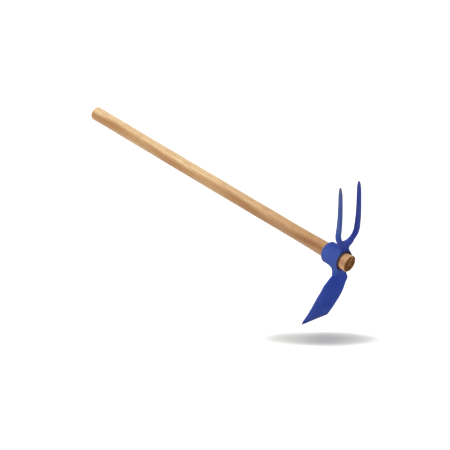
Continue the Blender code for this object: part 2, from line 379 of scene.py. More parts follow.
class Recipe(Nodes):
    """The node tree of one finish, round a Principled shader."""

    WAVE_TURN = 20.0

    def __init__(self, name: str) -> None:
        """Start a material.

        Args:
            name: the material's name.
        """
        self.material = bpy.data.materials.new(name)
        self.material.use_nodes = True
        super().__init__(self.material.node_tree)
        self.shader = self.tree.nodes["Principled BSDF"]
        self.place = self.object_place()

    def noise(self, speckle: Speckle, grain: Socket | None = None, output: str = "Fac") -> Socket:
        """Add a noise.

        Args:
            speckle: its look.
            grain: coordinates that follow the grain, where those of the object won't do.
            output: Fac for a number between 0 and 1, or Color for three.

        Returns:
            The noise.
        """
        place = grain or self.place
        if speckle.stretch != 1.0:
            scale = (speckle.stretch, 1.0, 1.0)
            place = self.node("ShaderNodeMapping", {"Vector": place, "Scale": scale}).outputs["Vector"]
        made = self.node("ShaderNodeTexNoise", {
            "Vector": place, "Scale": speckle.scale, "Detail": speckle.detail,
            "Roughness": speckle.roughness})
        return made.outputs[output]

    def rings(self, look: GrowthRings) -> Socket:
        """Add growth rings: a saw wave by the distance from the pith, which the wave texture turns
        through WAVE_TURN radians to the metre at a scale of 1.

        Args:
            look: how wide, dark and wavy they are.

        Returns:
            How strong the dark side of a ring is at each place.
        """
        stretch = (look.along_scale, 1.0, 1.0)
        shift = tuple(-centre * scale for centre, scale in zip(look.pith, stretch))
        place = self.node("ShaderNodeMapping", {"Vector": self.place, "Location": shift, "Scale": stretch})
        wave = self.node("ShaderNodeTexWave", {
            "Vector": place.outputs["Vector"], "Scale": 2.0 * math.pi / (self.WAVE_TURN * look.width),
            "Distortion": look.waver, "Detail": look.waver_detail, "Detail Scale": look.waver_scale,
        }, wave_type="RINGS", rings_direction="X", wave_profile="SAW")
        return self.remap(wave.outputs["Fac"], *look.ramp)

    def attribute(self, name: str) -> Socket:
        """The number that the mesh stores for each point under the name."""
        return self.node("ShaderNodeAttribute", attribute_name=name).outputs["Fac"]

    def bump(self, height: Socket, distance: float, under: Socket | None = None) -> Socket:
        """Tilt the normal.

        Args:
            height: the height, 0 to 1.
            distance: its full range in metres.
            under: a normal that is tilted already.

        Returns:
            The tilted normal.
        """
        inputs = {"Height": height, "Distance": distance, "Strength": 1.0}
        if under is not None:
            inputs["Normal"] = under
        return self.node("ShaderNodeBump", inputs).outputs["Normal"]

    def finish(self, colour: Socket, roughness: Socket, normal: Socket, gloss: float) -> bpy.types.Material:
        """Feed the shader.

        Args:
            colour: the colour.
            roughness: the roughness.
            normal: the bumped normal.
            gloss: the specular level, set on its own socket.

        Returns:
            The finished material.
        """
        for name, value in (("Base Color", colour), ("Roughness", roughness), ("Normal", normal),
                            ("Specular IOR Level", gloss)):
            self.feed(self.shader.inputs[name], value)
        return self.material


@dataclass(frozen=True)
class BluePaint:
    """Dull satin paint over forged steel: cloudy tone, a painted sheen on the sides and a paler painted
    sheen on one tine, a purple haze on the other, painted shade inside the fork, on the collar, on
    faces turned to +Y and in the bore, a darker band at the cutting edge, fine orange peel, and
    greyed points and edges."""

    tone: Triple = (0.019, 0.060, 0.430)
    deep_tone: Triple = (0.015, 0.050, 0.382)
    # painted shade: the deep tone laid where shade falls
    painted_shade_tone: Triple = (0.022, 0.030, 0.200)
    # painted sheen: a pale tone that stands in for light on the sides
    painted_sheen_tone: Triple = (0.340, 0.480, 0.600)
    # pale painted sheen on the near tine
    pale_sheen_tone: Triple = (0.220, 0.270, 0.290)
    haze_tone: Triple = (0.300, 0.250, 0.280)
    dusty_tone: Triple = (0.140, 0.170, 0.300)
    bare_tone: Triple = (0.150, 0.160, 0.190)
    # painted shade in the bore and round its mouth
    bore_shade_tone: Triple = (0.070, 0.048, 0.110)
    clouds: Speckle = Speckle(38.0, 4.0, 0.6)
    cloud_ramp: Ramp = (0.3, 0.7, 0.0, 1.0)
    fine: Speckle = Speckle(550.0, 3.0, 0.6)
    patchy_ramp: Ramp = (0.2, 0.8, 0.8, 1.2)
    dust_ramp: Ramp = (0.40, 0.64, 0.0, 0.18)
    scuff_ramp: Ramp = (0.3, 0.7, -0.30, 0.30)
    bared_ramp: Ramp = (0.35, 1.0, 0.0, 0.7)
    peel: Speckle = Speckle(1100.0, 2.0)
    peel_depth: float = 0.00005
    forging: Speckle = Speckle(150.0, 4.0, 0.55)
    forging_depth: float = 0.00020
    sheen: Speckle = Speckle(83.6, 3.0)
    sheen_ramp: Ramp = (0.3, 0.7, 0.36, 0.52)
    gloss: float = 0.012

    def material(self) -> bpy.types.Material:
        """Mix the coats over each other, from the tone below to the painted shade of the bore on top, as
        nodes.

        Returns:
            The painted steel.
        """
        r = Recipe(Slot.PAINT.value)
        clouds, fine = r.noise(self.clouds), r.noise(self.fine)
        # painted sheen, patchy with the clouds
        painted_sheen = r.combine("MULTIPLY", r.attribute("painted_sheen"), r.remap(clouds, *self.patchy_ramp))
        # pale painted sheen on the near tine, patchy with the fine noise
        pale_sheen = r.combine("MULTIPLY", r.attribute("pale_sheen"), r.remap(fine, *self.patchy_ramp))
        dust = r.combine("MULTIPLY", r.attribute("edge"), r.remap(fine, *self.dust_ramp))
        scuffed = r.combine("ADD", r.attribute("point"), r.remap(fine, *self.scuff_ramp))
        colour = r.mix(r.remap(clouds, *self.cloud_ramp), opaque(self.deep_tone), opaque(self.tone))
        coats = (
            # painted shade
            (r.attribute("painted_shade"), self.painted_shade_tone),
            (painted_sheen, self.painted_sheen_tone),
            (r.attribute("haze"), self.haze_tone),
            (pale_sheen, self.pale_sheen_tone),
            (dust, self.dusty_tone),
            (r.remap(scuffed, *self.bared_ramp), self.bare_tone),
            # painted shade in the bore
            (r.attribute("bore"), self.bore_shade_tone),
        )
        for strength, tone in coats:
            colour = r.mix(strength, colour, opaque(tone))
        peel = r.bump(r.noise(self.peel), self.peel_depth)
        normal = r.bump(r.noise(self.forging), self.forging_depth, peel)
        return r.finish(colour, r.remap(r.noise(self.sheen), *self.sheen_ramp), normal, self.gloss)


@dataclass(frozen=True)
class LacqueredSide:
    """The turned side of the handle: pale sapwood with a band of redder heartwood that swings from
    side to side along it, growth rings round a pith beside the handle, cloudy figure, flecks, long
    fibres and pores, under a thin lacquer. The sapwood keeps to the side that the camera sees as the
    top and the heartwood to below it, so they are partly a painted highlight and painted shade. It
    is palest at the stub in front of the eye, and has a painted shadow where the stub meets the eye."""

    stub_sapwood: Triple = (0.810, 0.475, 0.238)
    sapwood: Triple = (0.560, 0.306, 0.134)
    heartwood: Triple = (0.345, 0.146, 0.048)
    late_wood: Triple = (0.230, 0.092, 0.032)
    grip_sapwood: Triple = (0.890, 0.630, 0.345)
    grip_heartwood: Triple = (0.520, 0.250, 0.083)
    # painted shadow on the stub where it meets the eye
    collar_shadow_tone: Triple = (0.040, 0.026, 0.042)
    radius: float = 0.0141
    # Towards the top as the camera sees it: the pale sapwood there partly stands for a painted highlight.
    pale_side: Triple = (0.0, 0.63, 0.78)
    paling_x: Pair = (-0.110, -0.440)
    stub_x: Pair = (-0.050, -0.019)
    stub_break: float = 0.0010
    collar_shadow_ramp: Ramp = (-0.0150, -0.0172, 0.0, 0.85)
    grain_slope: float = 0.064
    swing_zero: float = -0.585
    swing_length: float = 0.305
    swing_skew: float = 0.35
    heart_middle: Pair = (0.26, 0.60)
    heart_core: float = 0.15
    heart_reach: Pair = (0.64, 0.55)
    # Softens the band's lower border towards the grip, painting shade along the underside.
    low_side: Pair = (0.42, 1.35)
    stub_reach: float = 0.24
    heart_reach_x: Pair = (-0.250, -0.080)
    waver: Speckle = Speckle(90.0, 3.0, stretch=0.05)
    waver_ramp: Ramp = (0.3, 0.7, -0.20, 0.20)
    depth_zero: float = -0.130
    depth_length: float = 0.220
    heart_strength: Pair = (0.58, 0.94)
    figure: Speckle = Speckle(195.0, 3.0, 0.55, stretch=0.20)
    figure_ramp: Ramp = (0.45, 0.65, 0.0, 0.30)
    flecks: Speckle = Speckle(520.0, 2.0, stretch=0.30)
    streaks: Speckle = Speckle(320.0, 4.0, 0.6, stretch=0.022)
    streak_ramp: Ramp = (0.42, 0.68, 0.0, 1.0)
    streak_strength: Pair = (0.12, 0.55)
    rings: GrowthRings = GrowthRings(0.0034, (0.45, 1.0, 0.0, 0.25), along_scale=0.035)
    fibres: Speckle = Speckle(1500.0, 3.0, 0.6, stretch=0.015)
    speck_ramp: Ramp = (0.60, 0.72, 0.0, 0.40)
    relief: float = 0.00005
    sheen_ramp: Ramp = (0.3, 0.7, 0.32, 0.46)
    gloss: float = 0.30

    def material(self) -> bpy.types.Material:
        """Lay the heartwood and the marks of the grain over the sapwood, as nodes.

        The pale side is a straight direction across the handle, its top as the camera sees it, so the
        sapwood kept there is partly a painted highlight and the heartwood below partly painted shade;
        the grain runs off the handle's axis in that direction by its slope.

        Returns:
            The lacquered wood.
        """
        r = Recipe(Slot.LACQUER.value)
        along = r.node("ShaderNodeSeparateXYZ", {"Vector": r.place}).outputs["X"]
        side = tuple(-part / self.radius for part in self.pale_side)
        across = r.vector("DOT_PRODUCT", {0: r.place, 1: side}, "Value")
        shear = tuple(self.grain_slope * part for part in self.pale_side)
        grain = r.vector("ADD", {0: r.place, 1: r.vector("SCALE", {0: shear, "Scale": along})})
        towards_grip = r.remap(along, *self.paling_x)
        sapwood = r.mix(towards_grip, opaque(self.sapwood), opaque(self.grip_sapwood))
        sapwood = r.mix(r.remap(along, *self.stub_x), sapwood, opaque(self.stub_sapwood))
        heartwood = r.mix(towards_grip, opaque(self.heartwood), opaque(self.grip_heartwood))
        late_wood = opaque(self.late_wood)
        heart = self.heart_band(r, along, across, grain)
        streaks, fibres = r.noise(self.streaks, grain), r.noise(self.fibres, grain)
        streaky = r.combine("MULTIPLY", r.remap(streaks, *self.streak_ramp),
                            r.remap(heart, 0.0, 1.0, *self.streak_strength))
        in_front = r.remap(along, self.stub_x[1] - self.stub_break, self.stub_x[1])
        layers = (
            (heart, heartwood),
            (r.remap(r.noise(self.figure, grain), *self.figure_ramp), heartwood),
            (streaky, heartwood),
            (r.rings(self.rings), late_wood),
            (r.remap(r.noise(self.flecks, grain), *self.speck_ramp), late_wood),
            (r.remap(fibres, *self.speck_ramp), late_wood),
            # painted shadow where the stub meets the eye
            (r.combine("MULTIPLY", r.remap(along, *self.collar_shadow_ramp), in_front), opaque(self.collar_shadow_tone)),
        )
        colour = sapwood
        for strength, tone in layers:
            colour = r.mix(strength, colour, tone)
        return r.finish(colour, r.remap(streaks, *self.sheen_ramp), r.bump(fibres, self.relief), self.gloss)

    def wave(self, r: Recipe, along: Socket, zero: float, length: float, skew: float) -> Socket:
        """A wave along the handle: sin(p - skew sin p), where p turns once in the length.

        Args:
            r: the recipe that it belongs to.
            along: the place along the handle.
            zero: where the wave starts.
            length: how long it is.
            skew: how far it leans.

        Returns:
            The wave, between -1 and 1.
        """
        phase = r.combine("MULTIPLY", r.combine("SUBTRACT", along, zero), 2.0 * math.pi / length)
        pull = r.combine("MULTIPLY", r.combine("SINE", phase), skew)
        return r.combine("SINE", r.combine("SUBTRACT", phase, pull))

    def heart_band(self, r: Recipe, along: Socket, across: Socket, grain: Socket) -> Socket:
        """Place the heartwood, partly painted shade on the lower side: the band's middle swings across
        the handle below its middle, its borders waver, its lower one is softer towards the grip, where
        the underside is darker, and it is deeper in some stretches.

        Args:
            r: the recipe that it belongs to.
            along: the place along the handle.
            across: the place away from the pale side, -1 to 1.
            grain: coordinates that follow the grain.

        Returns:
            1 in the band of heartwood and 0 in the sapwood on both sides of it.
        """
        swing = self.wave(r, along, self.swing_zero, self.swing_length, self.swing_skew)
        waver = r.remap(r.noise(self.waver, grain), *self.waver_ramp)
        middle = r.combine("ADD", r.remap(swing, -1.0, 1.0, *self.heart_middle), waver)
        beyond = r.combine("SUBTRACT", across, middle)
        below = r.combine("MULTIPLY", beyond, r.remap(along, *self.heart_reach_x, *self.low_side))
        away = r.combine("MAXIMUM", r.combine("MULTIPLY", beyond, -1.0), below)
        reach = r.combine("ADD", r.remap(along, *self.heart_reach_x, *self.heart_reach),
                          r.remap(along, *self.stub_x, 0.0, self.stub_reach))
        heart = r.remap(away, self.heart_core, reach, 1.0, 0.0)
        depth = self.wave(r, along, self.depth_zero, self.depth_length, 0.0)
        return r.combine("MULTIPLY", heart, r.remap(depth, -1.0, 1.0, *self.heart_strength))


@dataclass(frozen=True)
class Stain:
    """One dark mark on end grain: its middle, its radius and how dark it is."""

    y: float
    z: float
    radius: float
    depth: float


@dataclass(frozen=True)
class EndGrain:
    """Sawn end grain: brown wood in cloudy patches, with arcs of growth rings, open pores, soaked-in
    stains and a line of painted shade beside the kerf, where the gap round the wedge lies."""

    name: str
    base: Triple
    pale: Triple
    soaked: Triple
    stains: tuple[Stain, ...]
    kerf_shade_strength: float
    kerf_tilt: float
    # Painted shade beside the kerf: none at the first distance from its middle, full at the second.
    kerf_shade_line: Pair = (0.0034, 0.0019)
    darkest: Triple = (0.050, 0.015, 0.004)
    patches: Speckle = Speckle(210.0, 4.0, 0.6)
    pale_ramp: Ramp = (0.50, 0.68, 0.0, 1.0)
    soaked_ramp: Ramp = (0.50, 0.36, 0.0, 1.0)
    drift: Speckle = Speckle(210.0, 3.0)
    drift_reach: float = 0.0060
    stain_core: float = 0.3
    rings: GrowthRings = GrowthRings(0.0030, (0.45, 1.0, 0.0, 0.35))
    pores: Speckle = Speckle(1500.0, 3.0, 0.6)
    pore_ramp: Ramp = (0.58, 0.70, 0.0, 0.50)
    relief: float = 0.0002
    sheen_ramp: Ramp = (0.3, 0.7, 0.60, 0.80)
    gloss: float = 0.03

    def material(self) -> bpy.types.Material:
        """Lay the patches, rings, stains and pores over the base, as nodes.

        Returns:
            The sawn wood.
        """
        r = Recipe(self.name)
        patches, pores = r.noise(self.patches), r.noise(self.pores)
        colour = opaque(self.base)
        for strength, tone in (
                (r.remap(patches, *self.pale_ramp), self.pale),
                (r.remap(patches, *self.soaked_ramp), self.soaked),
                (r.rings(self.rings), self.soaked),
                (self.stains_and_kerf_shade(r), self.darkest),
                (r.remap(pores, *self.pore_ramp), self.darkest)):
            colour = r.mix(strength, colour, opaque(tone))
        return r.finish(colour, r.remap(patches, *self.sheen_ramp), r.bump(pores, self.relief), self.gloss)

    def stains_and_kerf_shade(self, r: Recipe) -> Socket:
        """Place the stains, whose borders a noise shifts, and the line of painted shade beside the kerf.

        Args:
            r: the recipe that they belong to.

        Returns:
            How dark the darkest of them is at each place.
        """
        half = (0.5, 0.5, 0.5)
        centred = r.vector("SUBTRACT", {0: r.noise(self.drift, output="Color"), 1: half})
        drift = r.vector("SCALE", {0: centred, "Scale": self.drift_reach})
        place = r.vector("ADD", {0: r.place, 1: drift})
        across = (0.0, math.cos(self.kerf_tilt), -math.sin(self.kerf_tilt))
        from_kerf = r.combine("ABSOLUTE", r.vector("DOT_PRODUCT", {0: place, 1: across}, "Value"))
        # painted shade beside the kerf
        deepest = r.remap(from_kerf, *self.kerf_shade_line, 0.0, self.kerf_shade_strength)
        flat = r.vector("MULTIPLY", {0: place, 1: (0.0, 1.0, 1.0)})
        for stain in self.stains:
            away = r.vector("DISTANCE", {0: flat, 1: (0.0, stain.y, stain.z)}, "Value")
            mark = r.remap(away, stain.radius, self.stain_core * stain.radius, 0.0, stain.depth)
            deepest = r.combine("MAXIMUM", deepest, mark)
        return deepest


SAWN_END = EndGrain(
    name="sawn_end", kerf_tilt=KERF_TILT, kerf_shade_strength=0.70,
    base=(0.238, 0.097, 0.025), pale=(0.370, 0.170, 0.058), soaked=(0.145, 0.048, 0.011),
    stains=(Stain(-0.0012, -0.0078, 0.0062, 0.95), Stain(0.0100, -0.0030, 0.0070, 0.55),
            Stain(-0.0110, 0.0020, 0.0060, 0.15)))
WEDGE_WOOD = EndGrain(
    name=Slot.WEDGE.value, kerf_tilt=KERF_TILT, kerf_shade_strength=0.0,
    base=(0.460, 0.265, 0.110), pale=(0.540, 0.340, 0.160), soaked=(0.330, 0.170, 0.062),
    stains=(Stain(-0.0030, -0.0085, 0.0075, 0.72),))


@dataclass(frozen=True)
class HandleForm:
    """The turned outline of the handle, which the eye's bore and the wedge follow too."""

    shaft_radius: float = 0.0141
    head_end_radius: float = 0.0172
    flare_length: float = 0.150
    flare_power: float = 1.45
    bow: Pair = (-0.0009, -0.0011)
    bow_start: float = -0.063
    bow_end: float = -0.780

    def radius(self, x: Array) -> Array:
        """Radius at x: a plain shaft that flares by a power law towards the front end."""
        along = np.clip(1.0 + x / self.flare_length, 0.0, 1.0)
        return self.shaft_radius + (self.head_end_radius - self.shaft_radius) * along ** self.flare_power

    def bowed(self, x: Array, y: Array, z: Array) -> Array:
        """Bow the handle a little: nothing in the eye, and behind it the bow times 1 - (1 - s)^2,
        where s is the share of the way to the grip end.

        Args:
            x, y, z: coordinates of the points of a straight handle.

        Returns:
            The points moved aside, with their coordinates along the last axis.
        """
        share = part_way(x, self.bow_start, self.bow_end)
        off = 1.0 - (1.0 - share) ** 2
        return np.stack([x, y + self.bow[0] * off, z + self.bow[1] * off], axis=-1)


@dataclass(frozen=True)
class Eye:
    """The round collar of the head."""

    form: HandleForm
    setback: float = 0.0185
    length: float = 0.0445
    radius: float = 0.0216
    barrel: float = 0.0004
    belly: float = 0.0010
    rim_rounding: float = 0.0014
    bore_rounding: float = 0.0005
    mouth_flare: float = 0.0022
    mouth_depth: float = 0.0060
    mouth_limit: float = 1.5
    fit: float = 0.0003

    @property
    def front(self) -> float:
        """Where the front rim lies along X."""
        return -self.setback

    @property
    def back(self) -> float:
        """Where the back rim lies along X."""
        return -self.setback - self.length

    @property
    def middle(self) -> float:
        """Where the middle of the collar lies along X."""
        return 0.5 * (self.front + self.back)

    def collar(self, x: Array, y: Array, z: Array) -> Array:
        """Shape the collar without its bore and its front face: a barrel about the X axis whose
        radius falls with the square of the distance from its middle, and swells a little towards
        the neck.

        Args:
            x, y, z: coordinates of the points.

        Returns:
            The distance from its surface, negative inside.
        """
        from_middle = (x - self.middle) / (0.5 * self.length)
        towards_neck = np.clip(-z / self.radius, 0.0, 1.0)
        side = np.hypot(y, z) - self.radius + self.barrel * from_middle ** 2 - self.belly * towards_neck ** 2
        return rounded_corner(side, self.back - x, self.rim_rounding)

    def bore_radius(self, x: Array) -> Array:
        """Radius of the bore, which follows the handle and opens like a bell at the front."""
        from_deep = np.clip(1.0 - (self.front - x) / self.mouth_depth, 0.0, self.mouth_limit)
        return self.form.radius(x) + self.fit + self.mouth_flare * from_deep ** 2

    def bore(self, x: Array, y: Array, z: Array) -> Array:
        """Distance to what lies outside the bore."""
        return self.bore_radius(x) - np.hypot(y, z)


@dataclass(frozen=True)
class Fork:
    """Two tines of square bar bent to a U, and the stem that carries them."""

    eye: Eye
    spacing: float = 0.0478
    tip_height: float = 0.1670
    floor_height: float = 0.0388
    bend_height: float = 0.0300
    bow_height: float = 0.1000
    bow_x: float = -0.0137
    root_setback: float = 0.0055
    tip_setback: float = 0.0046
    root_power: float = 2.2
    tip_power: float = 1.5
    root_side: float = 0.0097
    shank_side: float = 0.0070
    point_side: float = 0.0029
    uneven: float = 0.028
    point_length: float = 0.0180
    point_power: float = 1.8
    corner_share: float = 0.26
    stem_start: float = 0.0100
    waist_width: float = 0.0222
    stem_top_width: float = 0.0340
    stem_depth: float = 0.0130
    stem_spread_power: float = 3.0
    stem_corner: float = 0.0030
    tip_rounding: float = 0.0013
    fillet: float = 0.0070
    tiny: float = 1e-9

    @property
    def bend_top(self) -> float:
        """Height at which the U runs out into the straight shanks."""
        return self.floor_height + self.bend_height

    def middle(self, z: Array) -> Array:
        """Bow the bar forward between the root and the points, by two powers.

        Args:
            z: heights.

        Returns:
            X of the bar's middle at each height.
        """
        low = part_way(z, self.bow_height, self.floor_height)
        high = part_way(z, self.bow_height, self.tip_height)
        back = self.root_setback * low ** self.root_power + self.tip_setback * high ** self.tip_power
        return self.bow_x - back

    def side(self, z: Array) -> Array:
        """Taper the square bar: evenly up the shank, and then by a power to a blunt point.

        Args:
            z: heights.

        Returns:
            Side of the bar at each height.
        """
        shank_top = self.tip_height - self.point_length
        shank = part_way(z, self.bend_top, shank_top)
        point = np.clip((z - shank_top) / self.point_length, 0.0, 1.0)
        return blend(self.root_side, self.shank_side, shank) \
            - (self.shank_side - self.point_side) * point ** self.point_power

    def stem_share(self, z: Array) -> Array:
        """0 at the eye's outside and 1 at the floor of the U."""
        return part_way(z, self.eye.radius, self.floor_height)

    def front(self, z: Array) -> Array:
        """X of the fork's front face, which runs from the eye's to the front of the bar."""
        share = smooth_step(self.stem_share(z))
        return blend(self.eye.front, self.middle(z) + 0.5 * self.side(z), share)

    def bar(self, x: Array, y: Array, z: Array) -> Array:
        """Shape the U of bar without its front face.

        Above the bend it is the distance from the tine's middle plane. In the bend it is nearly the
        distance from an ellipse: k - 1 times k / g, where k is the place's share of the ellipse's
        half axes and g the slope of k. A rounded corner with the back face gives the square section.

        Args:
            x, y, z: coordinates of the points.

        Returns:
            The distance from its surface, negative inside.
        """
        half = 0.5 * self.spacing
        across, up = np.abs(y) / half, np.minimum(z - self.bend_top, 0.0) / self.bend_height
        ellipse = np.hypot(across, up)
        slope = np.hypot(across / half, up / self.bend_height)
        own_radius = (ellipse + self.tiny) / (slope + self.tiny / half)
        from_middle = own_radius * (ellipse - 1.0)
        side = self.side(z) * (1.0 + self.uneven * np.clip(y / half, -1.0, 1.0))
        back = self.middle(z) - 0.5 * side - x
        shank = rounded_corner(np.abs(from_middle) - 0.5 * side, back, self.corner_share * side)
        return rounded_corner(shank, z - self.tip_height, self.tip_rounding)

    def stem(self, x: Array, y: Array, z: Array) -> Array:
        """Shape the stem without its front face: it stands in the eye's wall and spreads by a power
        to the floor of the U, like a V.

        Args:
            x, y, z: coordinates of the points.

        Returns:
            The distance from its surface, negative inside.
        """
        low = part_way(z, self.stem_start, self.floor_height)
        width = blend(self.waist_width, self.stem_top_width, low ** self.stem_spread_power)
        depth = blend(self.stem_depth, self.root_side, low)
        section = rounded_corner(np.abs(y) - 0.5 * width, self.front(z) - depth - x, self.stem_corner)
        return np.maximum(section, np.maximum(self.stem_start - z, z - self.floor_height))

    def field(self, x: Array, y: Array, z: Array) -> Array:
        """Distance to the whole fork without its front face."""
        return soft_union(self.bar(x, y, z), self.stem(x, y, z), self.fillet)


@dataclass(frozen=True)
class Blade:
    """The broad blade and its neck."""

    eye: Eye
    edge_depth: float = 0.1637
    edge_skew: float = 0.00165
    edge_wear: float = 0.00065
    start_depth: float = 0.0100
    neck_depth: float = 0.0385
    shoulder_depth: float = 0.0620
    full_depth: float = 0.1000
    neck_width: float = 0.0236
    shoulder_width: float = 0.0578
    width: float = 0.0664
    shoulder_power: float = 2.2
    neck_setback: float = 0.0029
    reach: float = 0.0621
    hollow: float = 0.0153
    curl: float = 0.0210
    past_edge: float = 1.05
    shoulder_lead: Pair = (0.0068, 0.0022)
    lead_depth: Pair = (0.0340, 0.0440)
    neck_aside: float = 0.00045
    edge_aside: float = 0.00065
    swing_run: float = 0.0350
    neck_thickness: float = 0.0151
    neck_end_depth: float = 0.0533
    top_thickness: float = 0.0053
    low_thickness: float = 0.0034
    edge_thickness: float = 0.0010
    bevel_length: float = 0.0070
    past_bevel: float = 1.1
    side_rounding: float = 0.0013
    rounding_share: float = 0.45
    edge_rounding: float = 0.0003

    def skewed_edge(self, y: Array) -> Array:
        """Depth of the cutting edge: skewed evenly across, and hollow by the square from its middle."""
        across = y / (0.5 * self.width)
        return self.edge_depth - self.edge_skew * across + self.edge_wear * across * across

    def share(self, depth: Array) -> Array:
        """0 at the eye's outside and 1 at the cutting edge."""
        return np.clip((depth - self.eye.radius) / (self.edge_depth - self.eye.radius), 0.0, self.past_edge)

    def front(self, depth: Array) -> Array:
        """Lean the plate's front face, from behind the eye's, to the grip: evenly, less a little by
        the square of the way down, and more again by its cube.

        Args:
            depth: depths below the handle's axis.

        Returns:
            X of the face at each depth.
        """
        share = self.share(depth)
        return self.eye.front - self.neck_setback - self.reach * share + self.hollow * share ** 2 \
            - self.curl * share ** 3

    def lean(self, depth: Array) -> Array:
        """Measure how the front face leans, by the slope of its formula.

        Args:
            depth: depths below the handle's axis.

        Returns:
            Cosine of the angle between the front face and the upright at each depth.
        """
        share = self.share(depth)
        slope = self.reach - 2.0 * self.hollow * share + 3.0 * self.curl * share ** 2
        return 1.0 / np.hypot(1.0, slope / (self.edge_depth - self.eye.radius))

    def aside(self, depth: Array) -> Array:
        """Stand the neck a little towards +Y, and swing the plate slightly towards -Y on its way to
        the edge, both by smooth steps.

        Args:
            depth: depths below the handle's axis.

        Returns:
            Y of the plate's middle at each depth.
        """
        shoulder = smooth_step(part_way(depth, self.neck_depth, self.shoulder_depth))
        swing = smooth_step((depth - self.full_depth) / self.swing_run)
        return self.neck_aside * (1.0 - shoulder) - self.edge_aside * swing

    def outline(self, depth: Array) -> Array:
        """Widen the neck to a shoulder that starts at once and eases off by a power, and then a
        little more by a smooth step to nearly parallel sides.

        Args:
            depth: depths below the handle's axis.

        Returns:
            Width at each depth.
        """
        down = part_way(depth, self.neck_depth, self.shoulder_depth)
        shoulder = 1.0 - (1.0 - down) ** self.shoulder_power
        full = smooth_step(part_way(depth, self.shoulder_depth, self.full_depth))
        return blend(self.neck_width, self.shoulder_width, shoulder) \
            + (self.width - self.shoulder_width) * full

    def thickness(self, depth: Array) -> Array:
        """Thin the steel by a smooth step below the neck, and evenly down the plate, without what
        the ground edge takes off.

        Args:
            depth: depths below the handle's axis.

        Returns:
            Thickness at each depth.
        """
        neck = 1.0 - smooth_step(part_way(depth, self.eye.radius, self.neck_end_depth))
        down = part_way(depth, self.shoulder_depth, self.edge_depth)
        plate = blend(self.top_thickness, self.low_thickness, down)
        return plate + (self.neck_thickness - self.top_thickness) * neck

    def ground(self, depth: Array) -> Array:
        """How much the grinding takes off the back, from nothing to all but the edge's own."""
        share = np.clip(1.0 - (self.edge_depth - depth) / self.bevel_length, 0.0, self.past_bevel)
        return (self.low_thickness - self.edge_thickness) * share

    def rounding(self, depth: Array) -> Array:
        """Rounding of the long edges, limited by what is left of the thickness."""
        left = self.thickness(depth) - self.ground(depth)
        return np.minimum(self.side_rounding, self.rounding_share * left)

    def field(self, x: Array, y: Array, z: Array) -> Array:
        """Shape blade and neck without their front face.

        It is the rounded corner of the outline and the back face, cut across by the end, which is
        square to the plate. The +Y shoulder starts higher than the other, and more gently.

        Args:
            x, y, z: coordinates of the points.

        Returns:
            The distance from their surface, negative inside.
        """
        depth, last = -z, np.array(self.edge_depth)
        back = self.front(depth) - (self.thickness(depth) - self.ground(depth)) / self.lean(depth)
        behind = (back - x) * self.lean(depth)
        lead = np.interp(depth, self.lead_depth, self.shoulder_lead)
        lead = lead * np.clip(y / (0.5 * self.neck_width), 0.0, 1.0)
        beside = np.abs(y - self.aside(depth)) - 0.5 * self.outline(depth + lead)
        plate = rounded_corner(beside, behind, self.rounding(depth))
        lean = float(self.lean(last))
        end_x = float(self.front(last)) - 0.5 * self.low_thickness / lean
        past_end = (depth - self.skewed_edge(y)) * lean - (x - end_x) * math.sqrt(1.0 - lean * lean)
        plate = rounded_corner(plate, past_end, self.edge_rounding)
        return np.maximum(plate, self.start_depth - depth)


@dataclass(frozen=True)
class Zones:
    """Where each point of the head lies and how it faces: its coordinates, how much it faces +Y, up
    and into the fork, how much it belongs to each part of the head, and how far up a tine it is,
    0 to 1."""

    x: Array
    y: Array
    z: Array
    across: Array
    upward: Array
    inward: Array
    in_fork: Array
    on_plate: Array
    on_eye: Array
    near: Array
    up_tine: Array


